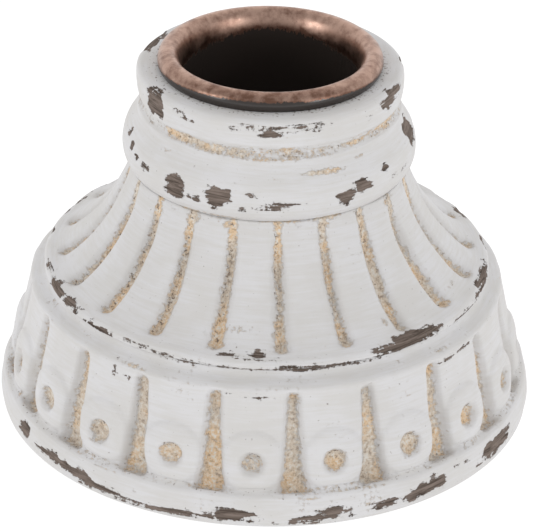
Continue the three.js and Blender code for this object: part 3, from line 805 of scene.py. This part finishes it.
class CANDLESTICK_OT_fluted_shoulder(bpy.types.Operator):
    """Build the shoulder: an upright ledge and a flare of staves between carved grooves"""

    bl_idname = "candlestick.fluted_shoulder"
    bl_label = "Fluted shoulder"

    def execute(self, context):
        size = context.scene.fluted_shoulder
        ledge, seam, seat = LEDGE_RADIUS / MM, SEAM / MM, SEAT / MM
        neck, bore, spigot, tenon, pilot = 17.45, 12.05, 14.05, 9.0, 1.8
        cup_under, low, high = CUP_LOW.z / MM - 0.3, SHOULDER_LOW.z / MM, SHOULDER_HIGH.z / MM
        pilot_end = cup_under - 13
        foot_r, foot_z = ledge - 1.3, seam + 1.2
        drop, span = seat - foot_z, foot_r - neck
        outline = drawn_outline(
            (0, low),
            (4, (tenon - 0.6, low)), (1, (tenon, low + 0.6)), (4, (tenon, seam)),
            (5, (ledge - 0.25, seam)),
            (0.12, (ledge - 0.1, seam), (ledge, seam + 0.05), (ledge, seam + 0.25)),
            (0.2, (ledge, seam + 0.7), (ledge - 0.4, foot_z - 0.1), (foot_r, foot_z)),
            (0.25, (neck + span * 0.53, foot_z + drop * 0.13), (neck + span * 0.16, seat - drop * 0.34),
             (neck, seat)),
            (2, (spigot, seat)), (1, (spigot, high)), (1, (bore, high)), (4, (bore, cup_under)),
            (4, (pilot + 1.4, cup_under)), (1, (pilot, cup_under - 1.5)), (4, (pilot, pilot_end)),
            (1, (0, pilot_end)),
        )

        def carve(across, radius, height):
            t = 1 - np.clip(((neck + span) * MM - radius) / (span * MM), 0, 1)
            outside = (radius > (neck - 0.01) * MM) & (height > (seam + 0.8) * MM)
            half = (size.flute_top + (size.flute_foot - size.flute_top) * t) / 2
            fade = (1 - ramp(t, 0.84, 0.98)) * outside
            pitch = np.maximum(radius, MM) * math.pi / size.flutes
            groove = 1 - ramp(np.abs(across) / half, 0.0, 1.6)
            sunk = size.flute_depth * (0.05 + 0.95 * ramp(t, 0.0, 0.22))
            crown = size.stave_crown * np.clip(1 - np.abs(across) / pitch, 0, 1) ** 2.2
            out = -(crown * ramp(t, 0.0, 0.3) + sunk * groove) * fade
            stain = 1.15 - 0.85 * np.abs(across) / half
            # Dark specks down the left side of each groove: grime, and painted shade on the side turned
            # from the light
            grime_and_shade = 0.6 * (1 - ramp(np.abs(across + 0.3 * half) / half, 0.1, 0.8))
            shown = (1 - ramp(t, 0.88, 1.0)) * outside
            return out, np.clip(stain, 0, 1) * shown, grime_and_shade * shown

        flare = outline[:, 0] > (neck - 0.01) * MM
        wash = 0.2 * (np.abs(outline[:, 1] - (seat - 0.35) * MM) < 0.45 * MM) * flare
        mesh = wedge("flute", outline, size.flutes, 32, wash, carve=carve)
        paint = context.scene.painted_wood
        ring = ring_of_wedges(
            "fluted_shoulder_wood", mesh, shared_paint(context.scene), size.flutes,
            first_turn=size.first_flute, wobble=paint.wobble, wobble_size=7 * MM, seed=2.0)
        weather(ring, paint, 2)
        place_piece("fluted_shoulder_wood", ring, "fluted_shoulder")
        return {"FINISHED"}


class CANDLESTICK_OT_neck_collar(bpy.types.Operator):
    """Build the collar: a large ring, a cove and a small ring under the candle cup"""

    bl_idname = "candlestick.neck_collar"
    bl_label = "Neck collar"

    def execute(self, context):
        size = context.scene.neck_collar
        seat, top, spigot = SEAT / MM, WOOD_TOP / MM, 14.35
        cove, lower, upper = size.cove_radius / MM, size.lower_ring / MM, size.upper_ring / MM
        middle, bore = seat + size.cove_height / MM, size.bore / MM
        counterbore, under_cup = seat + 2.3, 14.4
        outline = drawn_outline(
            (spigot, counterbore),
            (1, (spigot, seat)), (1, (cove + 0.5, seat)),
            (0.22, (cove + 1.1, seat), (cove + 1.4, seat + 0.1), (cove + 1.7, seat + 0.5)),
            (0.24, (lower, seat + 1.4), (lower + 0.15, seat + 3.5), (cove + 1.95, seat + 5.2)),
            (0.22, (cove + 1.3, seat + 6.3), (cove + 0.75, seat + 7.0), (cove + 0.5, middle - 0.8)),
            (0.2, (cove + 0.3, middle - 0.6), (cove, middle - 0.3), (cove, middle)),
            (0.2, (cove, middle + 0.35), (cove + 0.25, middle + 0.65), (cove + 0.45, middle + 0.9)),
            (0.22, (upper - 0.05, middle + 1.7), (upper, middle + 2.4), (upper, top - 1.1)),
            (0.2, (upper, top - 0.4), (upper - 0.2, top - 0.02), (upper - 0.8, top)),
            (0.3, (under_cup, top)), (1, (bore, top)),
            (3, (bore, counterbore)), (1, (spigot, counterbore)),
        )
        outer = outline[:, 0] > (cove - 1) * MM
        in_cove = (1 - ramp(np.abs(outline[:, 1] - middle * MM), 0.4 * MM, 1.1 * MM)) * outer
        under_lip = ramp(outline[:, 0], 15.7 * MM, 14.6 * MM) * (outline[:, 1] > (top - 0.1) * MM)
        # Dark specks in the cove and on the top beside the cup's lip: grime, and painted shade in the
        # hollow and under the lip
        mesh = wedge(
            "collar_wedge", outline, PLAIN_WEDGES, 24, 0.45 * in_cove,
            np.maximum(0.35 * in_cove, 0.55 * under_lip))
        paint = context.scene.painted_wood
        ring = ring_of_wedges(
            "neck_collar_wood", mesh, shared_paint(context.scene), PLAIN_WEDGES,
            wobble=0.7 * paint.wobble, wobble_size=9 * MM, seed=3.0)
        weather(ring, paint, 3)
        place_piece("neck_collar_wood", ring, "neck_collar")
        return {"FINISHED"}


class CANDLESTICK_OT_candle_cup(bpy.types.Operator):
    """Build the candle cup: a spun metal socket with a thick rolled lip"""

    bl_idname = "candlestick.candle_cup"
    bl_label = "Candle cup"

    def execute(self, context):
        size = context.scene.candle_cup
        bore, wall, roll, corner = (
            size.bore / MM, size.wall / MM, size.roll / MM, size.corner / MM)
        top, under, seat = CUP_HIGH.z / MM, CUP_LOW.z / MM, WOOD_TOP / MM
        lip, hole, floor = CUP_HIGH.x / MM, size.screw_hole / MM, under + wall
        outer, crest, middle = bore + wall, lip - roll, top - roll
        pull, soften, countersink, slope_end = FROM_END * roll, 0.25, 0.55, top - 3.6
        ease = corner * FROM_CORNER
        sink = math.asin((middle - seat) / roll)
        toe = (crest + roll * math.cos(sink), seat)
        outline = drawn_outline(
            (hole, floor),
            (1, (hole - countersink, under)), (3, (outer - corner, under)),
            (0.4, (outer - ease, under), (outer, under + ease), (outer, under + corner)),
            (3, (outer, seat)),
            (0.25, toe),
            (0.12, (toe[0] + soften * math.sin(sink), seat + soften * math.cos(sink)),
             (lip, middle - soften), (lip, middle)),
            (0.12, (lip, middle + pull), (crest + pull, top), (crest, top)),
            (0.12, (crest - pull, top), (bore + 0.1, top - 0.9), (bore, slope_end)),
            (0.4, (bore, top - 6)), (1.5, (bore, floor + corner)),
            (0.4, (bore, floor + ease), (bore - ease, floor), (bore - corner, floor)),
            (1.5, (hole, floor)),
        )
        mesh = wedge("cup_wedge", outline, PLAIN_WEDGES, 18)
        ring = ring_of_wedges(
            "candle_cup_metal", mesh, antique_copper(size), PLAIN_WEDGES,
            wobble=0.15 * MM, wobble_size=6 * MM, seed=4.0)
        rub_and_shade(ring, size)
        place_piece("candle_cup_metal", ring, "candle_cup")
        return {"FINISHED"}


class CANDLESTICK_OT_cup_screw(bpy.types.Operator):
    """Finish the screw that holds the cup down"""

    bl_idname = "candlestick.cup_screw"
    bl_label = "Cup screw"

    def execute(self, context):
        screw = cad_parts["cup_screw"]
        screw.data.materials.clear()
        screw.data.materials.append(black_steel())
        return {"FINISHED"}


class CANDLESTICK_OT_felt_disc(bpy.types.Operator):
    """Build the felt that the candlestick stands on"""

    bl_idname = "candlestick.felt_disc"
    bl_label = "Felt disc"

    def execute(self, context):
        size = context.scene.felt_disc
        radius, low, top = FELT_HIGH.x / MM, FELT_LOW.z / MM, FELT_HIGH.z / MM
        edge = size.edge / MM
        ease = edge * FROM_CORNER
        outline = drawn_outline(
            (0, low),
            (1, (radius - edge, low)),
            (0.1, (radius - ease, low), (radius, low + ease), (radius, low + edge)),
            (0.3, (radius, top)), (4, (0, top)),
        )
        mesh = wedge("felt_wedge", outline, PLAIN_WEDGES, 10)
        ring = ring_of_wedges("felt_disc_cloth", mesh, wool_felt(size), PLAIN_WEDGES)
        piece = place_piece("felt_disc_cloth", ring, "felt_disc")
        return {"FINISHED"}


# ---- Stage --------------------------------------------------------------------------

SOFT_LIGHTS = {"key_left": (-0.45, -0.31, 0.17), "key_right": (0.41, -0.36, 0.17)}
LIGHT_WIDTH = 0.2


def soft_light(name, place, aim, width, power):
    """A square soft light that looks at a point."""
    data = bpy.data.lights.new(name, "AREA")
    data.size = width
    data.energy = power
    light = bpy.data.objects.new(name, data)
    light.location = place
    light.rotation_euler = (Vector(aim) - Vector(place)).to_track_quat("-Z", "Y").to_euler()
    bpy.context.scene.collection.objects.link(light)


class CANDLESTICK_OT_stage(bpy.types.Operator):
    """Set out the floor, the soft light and the camera"""

    bl_idname = "candlestick.stage"
    bl_label = "Stage"

    def execute(self, context):
        stage = context.scene.stage
        self.floor(stage)
        self.sky(stage)
        top = (0, 0, CUP_HIGH.z)
        for name, place in SOFT_LIGHTS.items():
            soft_light(name, place, top, LIGHT_WIDTH, stage.key)
        self.camera(stage)
        context.scene.view_settings.view_transform = "Standard"
        return {"FINISHED"}

    def floor(self, stage):
        half = 1.5
        mesh = bpy.data.meshes.new("floor")
        corners = [(-half, -half, 0), (half, -half, 0), (half, half, 0), (-half, half, 0)]
        mesh.from_pydata(corners, [], [(0, 1, 2, 3)])
        mesh.materials.append(plain_floor(stage))
        floor = bpy.data.objects.new("floor", mesh)
        bpy.context.scene.collection.objects.link(floor)

    def sky(self, stage):
        world = bpy.data.worlds.new("studio")
        world.use_nodes = True
        tree = world.node_tree
        tree.nodes.clear()
        seen = add(tree, "ShaderNodeLightPath").outputs["Is Camera Ray"]
        place = add(tree, "ShaderNodeTexCoord").outputs["Generated"]
        apart = add(tree, "ShaderNodeSeparateXYZ", {"Vector": place})
        behind = add(tree, "ShaderNodeMapRange", {
            "Value": apart.outputs["Y"], "From Min": -0.2, "From Max": 0.9,
            "To Min": stage.room, "To Max": stage.wall})
        strength = add(tree, "ShaderNodeMix", {0: seen, 2: behind.outputs[0], 3: 1.0})
        light = add(tree, "ShaderNodeBackground", {
            "Color": (1, 1, 1, 1), "Strength": strength.outputs[0]})
        add(tree, "ShaderNodeOutputWorld", {"Surface": light.outputs[0]})
        bpy.context.scene.world = world

    def camera(self, stage):
        data = bpy.data.cameras.new("camera")
        data.lens = stage.lens
        data.clip_start = 0.01
        data.dof.use_dof = False
        camera = bpy.data.objects.new("camera", data)
        away = Vector((0, -math.cos(stage.elevation), math.sin(stage.elevation)))
        turn = away.to_track_quat("Z", "Y").to_matrix().to_4x4()
        place = Vector((0, 0, stage.aim)) + away * stage.distance
        camera.matrix_world = (
            Matrix.Translation(place) @ turn @ Matrix.Rotation(stage.roll, 4, "Z"))
        bpy.context.scene.collection.objects.link(camera)
        bpy.context.scene.camera = camera


# ---- The add-on ---------------------------------------------------------------------

GROUPS = {
    "beaded_base": CarvedBaseSettings,
    "fluted_shoulder": FlutedShoulderSettings,
    "neck_collar": NeckCollarSettings,
    "candle_cup": CandleCupSettings,
    "painted_wood": PaintedWoodSettings,
    "felt_disc": FeltSettings,
    "stage": StageSettings,
}
OPERATORS = (
    CANDLESTICK_OT_beaded_base,
    CANDLESTICK_OT_fluted_shoulder,
    CANDLESTICK_OT_neck_collar,
    CANDLESTICK_OT_candle_cup,
    CANDLESTICK_OT_cup_screw,
    CANDLESTICK_OT_felt_disc,
    CANDLESTICK_OT_stage,
)


class CANDLESTICK_PT_pieces(bpy.types.Panel):
    """The pieces of the candlestick and their sizes"""

    bl_idname = "CANDLESTICK_PT_pieces"
    bl_label = "Candlestick"
    bl_space_type = "VIEW_3D"
    bl_region_type = "UI"
    bl_category = "Candlestick"

    def draw(self, context):
        for operator in OPERATORS:
            self.layout.operator(operator.bl_idname)
        for name, group in GROUPS.items():
            box = self.layout.box()
            box.label(text=group.__doc__)
            for prop in group.__annotations__:
                box.prop(getattr(context.scene, name), prop)


def register():
    for name, group in GROUPS.items():
        bpy.utils.register_class(group)
        setattr(bpy.types.Scene, name, PointerProperty(type=group))
    for operator in OPERATORS:
        bpy.utils.register_class(operator)
    bpy.utils.register_class(CANDLESTICK_PT_pieces)


def unregister():
    bpy.utils.unregister_class(CANDLESTICK_PT_pieces)
    for operator in reversed(OPERATORS):
        bpy.utils.unregister_class(operator)
    for name, group in reversed(GROUPS.items()):
        delattr(bpy.types.Scene, name)
        bpy.utils.unregister_class(group)


def main():
    register()
    bpy.ops.candlestick.beaded_base()
    bpy.ops.candlestick.fluted_shoulder()
    bpy.ops.candlestick.neck_collar()
    bpy.ops.candlestick.candle_cup()
    bpy.ops.candlestick.cup_screw()
    bpy.ops.candlestick.felt_disc()
    bpy.ops.candlestick.stage()


if __name__ == "__main__":
    main()
